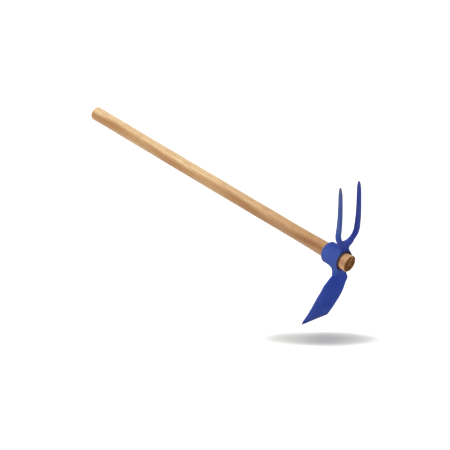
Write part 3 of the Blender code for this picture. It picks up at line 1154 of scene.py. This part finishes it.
@dataclass(frozen=True)
class PaintWear:
    """Where the head's paint carries painted sheen, haze, painted shade and wear."""

    eye: Eye
    fork: Fork
    blade: Blade
    side_sharpness: float = 1.5
    tiny: float = 1e-6
    # Painted sheen on the sides, the collar, the near tine and the plate's -Y side.
    side_sheen: Pair = (0.020, 0.12)
    plate_side_sheen: float = 0.022
    collar_sheen: float = 0.020
    tine_sheen: float = 0.145
    tine_sheen_height: float = 0.082
    tine_sheen_reach: float = 0.045
    plate_sheen: float = 0.072
    plate_sheen_run: float = 0.028
    # Pale painted sheen on the near tine, full at its point.
    pale_sheen: float = 0.50
    tine_foot_height: float = 0.045
    pale_sheen_lost_inside: float = 0.7
    haze: Pair = (0.11, 0.19)
    haze_rise: float = 1.6
    haze_parting: float = 8.0
    haze_lost_inside: float = 0.55
    # Painted shade inside the fork, on the collar and on faces turned to +Y, and a darker band at the
    # cutting edge.
    inner_shade: Pair = (0.65, 0.25)
    collar_shade: Pair = (0.12, 0.36)
    right_shade: float = 0.55
    low_shade: float = 0.55
    low_shade_run: float = 0.018
    # Painted shade in the bore and round its mouths.
    bore_edge: float = 0.0007
    bore_reach: float = 2.5
    worn_bend: Pair = (250.0, 900.0)
    worn_point: float = 0.0300
    far_point_share: float = 0.55
    worn_edge: float = 0.0030
    worn_edge_share: float = 0.20

    def zones(self, points: Array, slope: Array) -> Zones:
        """Sort the points by where they lie, with smooth steps between the parts of the head.

        Args:
            points: (n, 3) places.
            slope: (n, 3) slopes of the head's field there.

        Returns:
            The zones. Near is the -Y tine, and up_tine runs from its foot to its point.
        """
        x, y, z = points.T
        facing = slope / np.maximum(np.linalg.norm(slope, axis=1), self.tiny)[:, None]
        in_fork = smooth_step(self.fork.stem_share(z))
        on_plate = smooth_step((-z - self.eye.radius) / self.eye.radius)
        return Zones(
            x=x, y=y, z=z, across=facing[:, 1], upward=np.clip(facing[:, 2], 0.0, 1.0),
            inward=np.clip(-facing[:, 1] * np.sign(y), 0.0, 1.0),
            in_fork=in_fork, on_plate=on_plate, on_eye=(1.0 - in_fork) * (1.0 - on_plate),
            near=smooth_step(0.5 - self.side_sharpness * y / self.fork.spacing) * in_fork,
            up_tine=part_way(z, self.tine_foot_height, self.fork.tip_height))

    def painted_sheen(self, at: Zones) -> Array:
        """Paint sheen on the sides of collar and plate, on the near tine round one height, on the collar
        all over, and on the plate towards -Y by the square, but not near its edge.

        Args:
            at: the points' zones.

        Returns:
            Strength of the painted sheen at each point.
        """
        sides = blend(self.side_sheen[0], blend(self.side_sheen[1], self.plate_side_sheen, at.on_plate),
                      np.abs(at.across)) * (1.0 - at.in_fork)
        on_tine = smooth_step(1.0 - np.abs(at.z - self.tine_sheen_height) / self.tine_sheen_reach) * at.near
        leftward = np.clip(-at.y / (0.5 * self.blade.width), 0.0, 1.0)
        plate = at.on_plate * smooth_step((at.z + self.blade.edge_depth) / self.plate_sheen_run)
        return sides + self.tine_sheen * on_tine + self.collar_sheen * at.on_eye \
            + self.plate_sheen * plate * leftward ** 2

    def near_tine_sheen(self, at: Zones) -> Array:
        """Pale painted sheen on the near tine, which grows evenly to its point and is weaker on the faces
        that turn into the fork.
        """
        return self.pale_sheen * at.near * at.up_tine * (1.0 - self.pale_sheen_lost_inside * at.inward)

    def hazy(self, at: Zones) -> Array:
        """Haze the fork with a smooth step up the tines, but leave the near tine out above its foot.

        Args:
            at: the points' zones.

        Returns:
            Strength of the haze at each point.
        """
        risen = blend(*self.haze, smooth_step(self.haze_rise * at.up_tine))
        hazed = at.in_fork - at.near * smooth_step(self.haze_parting * at.up_tine)
        return risen * hazed * (1.0 - self.haze_lost_inside * at.inward)

    def dark(self, at: Zones) -> Array:
        """Paint shade inside the fork, on the collar and more on its top by the square of how it faces
        up, and on what faces +Y outside the collar, and darken the plate near its edge by a smooth step.

        Args:
            at: the points' zones.

        Returns:
            Strength of the painted shade at each point, the greatest of those.
        """
        inside = at.inward * at.in_fork * blend(*self.inner_shade, at.up_tine)
        collar = at.on_eye * blend(*self.collar_shade, at.upward ** 2)
        right = self.right_shade * np.clip(at.across, 0.0, 1.0) * (1.0 - at.on_eye)
        low = self.low_shade * smooth_step(1.0 - (at.z + self.blade.edge_depth) / self.low_shade_run)
        return np.maximum(np.maximum(inside + collar, right), low)

    def bare(self, at: Zones) -> Array:
        """Wear the tines' points and the cutting edge down to steel, evenly towards each.

        Args:
            at: the points' zones.

        Returns:
            How bare each point is, 0 to 1.
        """
        points = 1.0 - (self.fork.tip_height - at.z) / self.worn_point
        edge = 1.0 - (at.z + self.blade.edge_depth) / self.worn_edge
        worn = np.maximum(points * blend(self.far_point_share, 1.0, at.near), edge * self.worn_edge_share)
        return np.clip(worn, 0.0, 1.0)

    def bore_shade(self, at: Zones) -> Array:
        """Lay painted shade in the bore, with a smooth step over the edge of its mouths to the outside.

        Args:
            at: the points' zones.

        Returns:
            1 in the bore and 0 outside it.
        """
        above = np.hypot(at.y, at.z) - self.eye.bore_radius(at.x)
        in_reach = np.abs(at.x - self.eye.middle) < 0.5 * self.eye.length + self.bore_edge
        return smooth_step(self.bore_reach - above / self.bore_edge) * in_reach

    def mark(self, piece: bpy.types.Object, points: Array, slope: Array, bend: Array) -> None:
        """Write every mark to the piece for its paint to read.

        Args:
            piece: the head.
            points: (n, 3) places of its points.
            slope: (n, 3) slopes of its field there.
            bend: how tightly its surface bends there.
        """
        at = self.zones(points, slope)
        # The marks of sheen on the sides and on the near tine are painted sheen; the deep tone's and the
        # bore's are painted shade.
        marks = {"painted_sheen": self.painted_sheen(at), "pale_sheen": self.near_tine_sheen(at), "haze": self.hazy(at),
                 "painted_shade": self.dark(at), "bore": self.bore_shade(at), "point": self.bare(at),
                 "edge": smooth_step(part_way(bend, *self.worn_bend))}
        for name, values in marks.items():
            write_attribute(piece, name, values)


@dataclass(frozen=True)
class HoeHead:
    """The forged head in one piece: eye, fork and blade, run together with fillets."""

    eye: Eye
    fork: Fork
    blade: Blade
    wear: PaintWear
    paint: BluePaint = BluePaint()
    hammer: HammerMarks = HammerMarks()
    fork_fillet: float = 0.0075
    neck_fillet: float = 0.0115
    face_run: float = 0.0060
    waist_rounding: float = 0.0020
    waist_height: float = 0.0285
    waist_reach: float = 0.0085
    grid: float = 0.00075
    margin: float = 0.0020
    projection_rounds: int = 3
    slope_step: float = 0.00005
    least_slope: float = 0.25
    longest_step: float = 0.4
    bend_step: float = 0.0010
    sharp_degrees: float = 50.0

    def front(self, z: Array) -> Array:
        """X of the front face: the fork's above, the eye's own and the blade's below, run together."""
        below = smooth_step((-z - self.eye.radius + self.face_run) / (2.0 * self.face_run))
        return blend(self.fork.front(z), self.blade.front(np.maximum(-z, self.eye.radius)), below)

    def front_rounding(self, z: Array) -> Array:
        """Round the front face's edges as on the form that they belong to, and softer round the
        stem's waist, with smooth steps between.

        Args:
            z: heights.

        Returns:
            Rounding of the edges at each height.
        """
        upper = blend(self.eye.rim_rounding, self.fork.corner_share * self.fork.side(z),
                      smooth_step((z - self.eye.radius) / self.face_run))
        from_waist = np.abs(z - self.waist_height) / self.waist_reach
        upper = upper + self.waist_rounding * smooth_step(1.0 - from_waist)
        below = smooth_step((-z - self.eye.radius) / self.face_run)
        return blend(upper, self.blade.rounding(-z), below)

    def field(self, x: Array, y: Array, z: Array) -> Array:
        """Join the three forms with fillets, add the marks of the hammer, and cut the whole by the
        front face and the bore, with rounded corners.

        Args:
            x, y, z: coordinates of the points.

        Returns:
            The distance from the head's surface, negative in the steel.
        """
        steel = soft_union(self.eye.collar(x, y, z), self.fork.field(x, y, z), self.fork_fillet)
        steel = soft_union(steel, self.blade.field(x, y, z), self.neck_fillet)
        steel = steel + self.hammer.relief(x, y, z)
        lean = np.where(z < -self.eye.radius, self.blade.lean(-z), 1.0)
        steel = rounded_corner(steel, (x - self.front(z)) * lean, self.front_rounding(z))
        return rounded_corner(steel, self.eye.bore(x, y, z), self.eye.bore_rounding)

    def slopes(self, points: Array, step: float) -> tuple[Array, Array]:
        """Central differences of the field.

        Args:
            points: (n, 3) places.
            step: how far to each side to look.

        Returns:
            The slope along each axis, and the sum of the second slopes, which is how tightly the
            surface bends.
        """
        here = self.field(*points.T)
        slope = np.zeros_like(points)
        bend = np.zeros(len(points))
        for axis, shift in enumerate(step * np.eye(3)):
            ahead, behind = self.field(*(points + shift).T), self.field(*(points - shift).T)
            slope[:, axis] = (ahead - behind) / (2.0 * step)
            bend += (ahead + behind - 2.0 * here) / (step * step)
        return slope, bend

    def surface(self) -> tuple[Array, Array]:
        """Mesh the field on a grid that is sheared along X so that it follows the front face, and
        move each point on to the surface along the field's slope.

        Returns:
            Points and four-sided faces.
        """
        low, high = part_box("hoe_head")
        depth = self.eye.length + 2.0 * self.margin
        counts = [math.ceil(span / self.grid) for span in (
            depth, high.y - low.y + 2.0 * self.margin, high.z - low.z + 2.0 * self.margin)]
        half_width = 0.5 * (counts[1] - 1) * self.grid
        u = self.margin - depth + self.grid * np.arange(counts[0])
        y = np.linspace(-half_width, half_width, counts[1])
        z = low.z - self.margin + self.grid * np.arange(counts[2])
        grid_x = self.front(z)[None, None, :] + u[:, None, None]
        steps, faces = surface_net(self.field(grid_x, y[None, :, None], z[None, None, :]))
        height = z[0] + self.grid * steps[:, 2]
        points = np.stack([self.front(height) + u[0] + self.grid * steps[:, 0],
                           y[0] + self.grid * steps[:, 1], height], axis=1)
        longest = self.longest_step * self.grid
        for _ in range(self.projection_rounds):
            slope, _ = self.slopes(points, self.slope_step)
            length = np.maximum((slope * slope).sum(axis=1), self.least_slope)
            step = np.clip(self.field(*points.T) / length, -longest, longest)
            points -= step[:, None] * slope
        return points, faces

    def build(self) -> None:
        """Make the head and dress it."""
        points, faces = self.surface()
        piece = mesh_piece("painted_head", points, [faces])
        shade_smooth(piece, self.sharp_degrees)
        self.wear.mark(piece, points, *self.slopes(points, self.bend_step))
        piece.data.materials.append(self.paint.material())
        hand_over(piece, "hoe_head")


@dataclass(frozen=True)
class SawnFace:
    """The plane of the handle's front end, sawn a little out of square."""

    radius: float
    fall_across: float = 0.150
    fall_down: float = 0.100

    def offset(self, y: Array, z: Array) -> Array:
        """X of the face: it falls evenly towards +Y and -Z, from nothing at its foremost point."""
        foremost = self.radius * math.hypot(self.fall_across, self.fall_down)
        return self.fall_down * z - self.fall_across * y - foremost


@dataclass(frozen=True)
class Wedge:
    """The wooden wedge in the saw kerf of the handle's front end."""

    form: HandleForm
    face: SawnFace
    finish: EndGrain = WEDGE_WOOD
    length: float = 0.0380
    head_thickness: float = 0.0034
    tip_thickness: float = 0.0012
    tilt: float = KERF_TILT
    inset: float = 0.0005
    recess: float = 0.0002
    stations: int = 20
    height_steps: int = 24
    arris: float = 0.0003
    sharp_degrees: float = 35.0

    def thickness(self, x: Array) -> Array:
        """Thickness at x, even from the head to the thin end."""
        return blend(self.head_thickness, self.tip_thickness, -x / self.length)

    def turned(self, x: Array, across: Array, up: Array) -> Array:
        """Points from their place along the handle, across the wedge and up its height."""
        c, s = math.cos(self.tilt), math.sin(self.tilt)
        return np.stack(np.broadcast_arrays(x, across * c + up * s, up * c - across * s), axis=-1)

    def build(self) -> None:
        """Make the wedge as rings along X, flush with the sawn face.

        A ring is a rectangle with its height spaced by a cosine, and quarter circles of the arris at
        its top and bottom.
        """
        along = np.linspace(0.0, 1.0, self.stations)
        x = -self.length * along
        half = 0.5 * self.thickness(x)
        tall = self.form.radius(x) - self.inset
        up = np.cos(np.linspace(0.0, math.pi, self.height_steps))
        in_arris = ((np.abs(up) - 1.0) * tall[0] / self.arris + 1.0).clip(0.0)
        rounded = self.arris * (1.0 - np.sqrt(np.maximum(1.0 - in_arris ** 2, 0.0)))
        side = np.repeat((1.0, -1.0), self.height_steps)
        across = side * (half[:, None] - np.tile(rounded, 2)[None, :])
        points = self.turned(x[:, None], across, tall[:, None] * np.concatenate([up, -up])[None, :])
        flush = self.face.offset(points[..., 1], points[..., 2]) * (1.0 - along[:, None])
        points[..., 0] += flush - self.recess
        column = np.arange(2 * self.height_steps)
        last = (self.stations - 1) * len(column)
        sides = ring_faces(self.stations, len(column))[:, ::-1]
        caps = [column[None, :], (column + last)[None, ::-1]]
        piece = mesh_piece("end_wedge", points.reshape(-1, 3), [sides] + caps)
        shade_smooth(piece, self.sharp_degrees)
        piece.data.materials.append(self.finish.material())
        hand_over(piece, "wedge")


@dataclass(frozen=True)
class Handle:
    """The turned handle with its saw kerf."""

    form: HandleForm
    face: SawnFace
    wedge: Wedge
    side: LacqueredSide = LacqueredSide()
    end: EndGrain = SAWN_END
    end_break: float = 0.0010
    grip_rounding: float = 0.0016
    face_run: float = 0.0140
    turning_height: float = 0.00012
    turning_wave: float = 0.0600
    turning_beat: float = 1.7
    turning_lobes: int = 2
    columns: int = 96
    disc_rings: int = 10
    break_rings: int = 5
    flare_rings: int = 46
    shaft_rings: int = 90
    cap_rings: int = 12
    grip_disc_rings: int = 4
    kerf_gap: float = 0.00012
    kerf_spare: float = 0.0030
    overrun: float = 0.0060
    end_reach: float = 0.0003
    end_facing: float = 0.9
    sharp_degrees: float = 30.0

    def outline(self, length: float) -> tuple[Array, Array]:
        """Draw the turned outline: a flat disc, a quarter circle at its edge, the flare, the shaft
        and a quarter circle round to the flat of the grip end.

        Args:
            length: length of the handle.

        Returns:
            Distance from the front face and radius of each ring, from one pole to the other.
        """
        front, cap = self.form.radius(np.array(0.0)), self.form.shaft_radius
        front_flat, grip_flat = front - self.end_break, cap - self.grip_rounding
        turn = np.linspace(0.0, 0.5 * math.pi, self.break_rings)
        round_off = np.linspace(0.5 * math.pi, 0.0, self.cap_rings)[1:]
        flare = np.linspace(self.end_break, self.form.flare_length, self.flare_rings)[1:]
        shaft = np.linspace(self.form.flare_length, length - self.grip_rounding, self.shaft_rings)[1:]
        parts = [
            (np.zeros(self.disc_rings), np.linspace(0.0, front_flat, self.disc_rings + 1)[:-1]),
            (self.end_break * (1.0 - np.cos(turn)), front_flat + self.end_break * np.sin(turn)),
            (flare, self.form.radius(-flare)),
            (shaft, self.form.radius(-shaft)),
            (length - self.grip_rounding * (1.0 - np.cos(round_off)),
             grip_flat + self.grip_rounding * np.sin(round_off)),
            (np.full(self.grip_disc_rings, length),
             np.linspace(grip_flat, 0.0, self.grip_disc_rings + 1)[1:]),
        ]
        along, radius = zip(*parts)
        return np.concatenate(along), np.concatenate(radius)

    def rings(self, along: Array, radius: Array) -> Array:
        """Turn the outline about X, slant its front end, and bow it.

        The turning leaves it uneven by the product of two sines along it, one of which also winds
        round it. That sets in behind the front end by a smooth step, as the slant fades out.

        Args:
            along: distance of each ring from the front face.
            radius: radius of each ring.

        Returns:
            Points of all rings, one after the other.
        """
        angle = 2.0 * math.pi * np.arange(self.columns) / self.columns
        y, z = radius[:, None] * np.cos(angle), radius[:, None] * np.sin(angle)
        x = np.broadcast_to(-along[:, None], y.shape)
        behind = smooth_step(-x / self.face_run)
        crossing = np.sin(self.turning_lobes * angle + x / self.turning_wave) \
            * np.sin(x / self.turning_wave * self.turning_beat)
        uneven = 1.0 + self.turning_height / self.form.shaft_radius * crossing * behind
        x = x + self.face.offset(y, z) * (1.0 - behind)
        return self.form.bowed(x, y * uneven, z * uneven).reshape(-1, 3)

    def build(self) -> None:
        """Make the handle and dress it.

        The rings lie between two poles, each joined to the ring beside it by a fan of triangles.
        """
        along, radius = self.outline(-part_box("handle")[0].x)
        rings = self.rings(along[1:-1], radius[1:-1])
        poles = self.form.bowed(np.array([float(self.face.offset(0.0, 0.0)), -along[-1]]), 0.0, 0.0)
        rows, first = len(radius) - 2, len(rings)
        column = np.arange(self.columns)
        after, end = (column + 1) % self.columns, (rows - 1) * self.columns
        front_fan = np.stack([np.full(self.columns, first), column, after], axis=1)
        grip_fan = np.stack([np.full(self.columns, first + 1), end + after, end + column], axis=1)
        faces = [ring_faces(rows, self.columns), front_fan, grip_fan]
        piece = mesh_piece("turned_handle", np.concatenate([rings, poles]), faces)
        for finish in (self.side, self.end):
            piece.data.materials.append(finish.material())
        self.cut_kerf(piece)
        self.mark_end(piece)
        shade_smooth(piece, self.sharp_degrees)
        hand_over(piece, "handle")

    def cut_kerf(self, piece: bpy.types.Object) -> None:
        """Cut a slot for the wedge with a Boolean, which is applied, and remove the cutter.

        Args:
            piece: the handle.
        """
        x = np.array([self.overrun, -self.wedge.length, -self.wedge.length - self.kerf_spare])
        half = 0.5 * self.wedge.thickness(np.maximum(x, -self.wedge.length)) + self.kerf_gap
        tall = self.form.head_end_radius + self.overrun
        corners = ((1, 1), (-1, 1), (-1, -1), (1, -1))
        points = np.stack([self.wedge.turned(x, a * half, b * tall) for a, b in corners], axis=1)
        rows, columns = len(x), len(corners)
        order = np.arange(rows * columns)
        faces = [ring_faces(rows, columns)[:, ::-1], np.stack([order[:columns], order[:-columns - 1:-1]])]
        cutter = mesh_piece("kerf_cutter", points.reshape(-1, 3), faces)
        cutter.data.materials.append(piece.data.materials[1])
        cut = piece.modifiers.new("kerf", "BOOLEAN")
        cut.operation = "DIFFERENCE"
        cut.solver = "EXACT"
        cut.object = cutter
        seen = piece.evaluated_get(bpy.context.evaluated_depsgraph_get())
        result = bpy.data.meshes.new_from_object(seen)
        piece.modifiers.clear()
        piece.data = result
        bpy.data.objects.remove(cutter)

    def mark_end(self, piece: bpy.types.Object) -> None:
        """Give the faces of the sawn end the end-grain finish, as the cutter gave the kerf's.

        Args:
            piece: the handle.
        """
        count = len(piece.data.polygons)
        normals, centres = np.zeros((count, 3)), np.zeros((count, 3))
        piece.data.polygons.foreach_get("normal", normals.ravel())
        piece.data.polygons.foreach_get("center", centres.ravel())
        off_face = np.abs(centres[:, 0] - self.face.offset(centres[:, 1], centres[:, 2]))
        indices = np.zeros(count, np.int32)
        piece.data.polygons.foreach_get("material_index", indices)
        indices[(off_face < self.end_reach) & (normals[:, 0] > self.end_facing)] = 1
        piece.data.polygons.foreach_set("material_index", indices)


@dataclass(frozen=True)
class Viewpoint:
    """The photograph's camera."""

    azimuth: float = math.radians(46.0)
    elevation: float = math.radians(29.2)
    roll: float = math.radians(4.1)
    distance: float = 7.5
    pixels_per_metre: float = 520.2
    picture_side: float = 450.0
    origin_pixel: Pair = (350.76, 264.70)
    sensor: float = 36.0
    farthest: float = 100.0

    def axes(self) -> tuple[Vector, Vector, Vector]:
        """Find the camera's own axes.

        Returns:
            Directions in the frame of the picture's right, its up, and back to the camera.
        """
        a, e = self.azimuth, self.elevation
        back = Vector((math.sin(a) * math.cos(e), -math.cos(a) * math.cos(e), math.sin(e)))
        right = Vector((math.cos(a), math.sin(a), 0.0))
        up = back.cross(right)
        c, s = math.cos(self.roll), math.sin(self.roll)
        return c * right + s * up, c * up - s * right, back

    def build(self) -> None:
        """Stand the camera off along its direction and turn it so that the origin lands on its
        pixel, with no shift of the lens."""
        right, up, back = self.axes()
        middle = 0.5 * self.picture_side
        aside = (middle - self.origin_pixel[0]) / self.pixels_per_metre
        above = (self.origin_pixel[1] - middle) / self.pixels_per_metre
        place = self.distance * back
        towards_back = (place - aside * right - above * up).normalized()
        level = (up - towards_back * up.dot(towards_back)).normalized()
        turned = Matrix((level.cross(towards_back), level, towards_back)).transposed()
        data = bpy.data.cameras.new("viewpoint")
        data.lens = self.distance * self.pixels_per_metre * self.sensor / self.picture_side
        data.sensor_width = self.sensor
        data.clip_end = self.farthest
        camera = bpy.data.objects.new("viewpoint", data)
        camera.matrix_world = Matrix.Translation(place) @ turned.to_4x4()
        bpy.context.scene.collection.objects.link(camera)
        bpy.context.scene.camera = camera


@dataclass(frozen=True)
class Studio:
    """A white floor under a row of soft lamps, in a plain white surrounding."""

    azimuth: float
    drop: float = 0.0361
    floor_side: float = 60.0
    floor_white: float = 0.70
    picture_white: Triple = (1.30, 1.295, 1.27)
    shade_middle: Pair = (-0.0751, 0.0043)
    shade_half_axes: Pair = (0.1290, 0.0298)
    shade_turn: float = math.radians(53.8)
    shade_power: float = 3.3
    shade_depth: float = 0.495
    surround: float = 0.38
    lamp_count: int = 11
    lamp_tilts: Pair = (-40.0, 50.0)
    lamp_lean: float = math.radians(3.0)
    lamp_strength: float = 0.164
    lamp_spread: float = math.radians(45.0)
    side_lamp: Triple = (-0.10, -0.85, 0.52)
    side_strength: float = 0.75
    side_spread: float = math.radians(60.0)

    def build(self) -> None:
        """Lay the floor, hang the lamps and set the surrounding."""
        self.floor()
        right = Vector((math.cos(self.azimuth), math.sin(self.azimuth), 0.0))
        near = Vector((math.sin(self.azimuth), -math.cos(self.azimuth), 0.0))
        overhead = math.cos(self.lamp_lean) * Vector((0.0, 0.0, 1.0)) + math.sin(self.lamp_lean) * near
        for number, tilt in enumerate(np.radians(np.linspace(*self.lamp_tilts, self.lamp_count))):
            towards = math.sin(tilt) * right + math.cos(tilt) * overhead
            self.lamp(f"row_lamp_{number}", towards, self.lamp_strength, self.lamp_spread)
        self.lamp("side_lamp", Vector(self.side_lamp), self.side_strength, self.side_spread)
        self.surrounding()
        bpy.context.scene.view_settings.view_transform = "Standard"

    @staticmethod
    def lamp(name: str, towards: Vector, strength: float, spread: float) -> None:
        """Hang a soft lamp far away.

        Args:
            name: the lamp's name.
            towards: the direction that it hangs in.
            strength: how bright it is.
            spread: how wide it looks from the tool, in radians.
        """
        data = bpy.data.lights.new(name, "SUN")
        data.energy = strength
        data.angle = spread
        lamp = bpy.data.objects.new(name, data)
        lamp.rotation_mode = "QUATERNION"
        lamp.rotation_quaternion = towards.normalized().to_track_quat("Z", "Y")
        bpy.context.scene.collection.objects.link(lamp)

    @staticmethod
    def shown_rays(n: Nodes) -> Socket:
        """Tell the rays that the picture shows from those that only light it.

        Args:
            n: the node tree to ask in.

        Returns:
            1 for rays from the camera, and for those that gloss or glass sends on, else 0.
        """
        path = n.node("ShaderNodeLightPath").outputs
        shown = path["Is Camera Ray"]
        for other in ("Is Glossy Ray", "Is Transmission Ray"):
            shown = n.combine("MAXIMUM", shown, path[other])
        return shown

    def floor(self) -> None:
        """Lay a level sheet below the blade, white to the camera wherever no shadow falls, apart
        from a soft ellipse of shade under the head that is part of the sheet's own colour."""
        height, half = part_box("hoe_head")[0].z - self.drop, 0.5 * self.floor_side
        corners = np.array([[-half, -half, height], [half, -half, height],
                            [half, half, height], [-half, half, height]])
        sheet = mesh_piece("floor", corners, [np.array([[0, 1, 2, 3]])])
        material = bpy.data.materials.new("floor_paper")
        material.use_nodes = True
        material.node_tree.nodes.clear()
        n = Nodes(material.node_tree)
        colour = n.mix(self.shown_rays(n), opaque((self.floor_white,) * 3), self.shaded_white(n, height))
        paper = n.node("ShaderNodeBsdfDiffuse", {"Color": colour})
        n.node("ShaderNodeOutputMaterial", {"Surface": paper.outputs["BSDF"]})
        sheet.data.materials.append(material)
        LOG.info("%s lies at Z = %.3f", sheet.name, height)

    def shaded_white(self, n: Nodes, height: float) -> Socket:
        """The white that the camera sees, times 1 - depth (1 - e^power), where e is 0 in the middle
        of the ellipse and 1 on its border.

        Args:
            n: the floor's node tree.
            height: the floor's height.

        Returns:
            The colour.
        """
        across = n.node("ShaderNodeMapping", {
            "Vector": n.object_place(), "Location": (*self.shade_middle, height),
            "Rotation": (0.0, 0.0, self.shade_turn), "Scale": (*self.shade_half_axes, 1.0),
        }, vector_type="TEXTURE")
        away = n.vector("LENGTH", {0: across.outputs["Vector"]}, "Value")
        left = n.remap(n.combine("POWER", away, self.shade_power), 0.0, 1.0, 1.0 - self.shade_depth, 1.0)
        return n.vector("SCALE", {0: self.picture_white, "Scale": left})

    def surrounding(self) -> None:
        """Put a world round it all that is white to see and gives an even, weaker light."""
        world = bpy.data.worlds.new("white_room")
        world.use_nodes = True
        n = Nodes(world.node_tree)
        background = n.tree.nodes["Background"].inputs
        n.feed(background["Color"], opaque((1.0, 1.0, 1.0)))
        n.feed(background["Strength"], n.remap(self.shown_rays(n), 0.0, 1.0, self.surround, 1.0))
        bpy.context.scene.world = world


def main() -> None:
    """Build the pieces, the camera and the studio in order."""
    logging.basicConfig(level=logging.INFO, format="%(name)s: %(message)s")
    viewpoint = Viewpoint()
    viewpoint.build()
    form = HandleForm()
    eye, face = Eye(form), SawnFace(form.head_end_radius)
    fork, blade, wedge = Fork(eye), Blade(eye), Wedge(form, face)
    HoeHead(eye, fork, blade, PaintWear(eye, fork, blade)).build()
    wedge.build()
    Handle(form, face, wedge).build()
    Studio(viewpoint.azimuth).build()


if __name__ == "__main__":
    main()
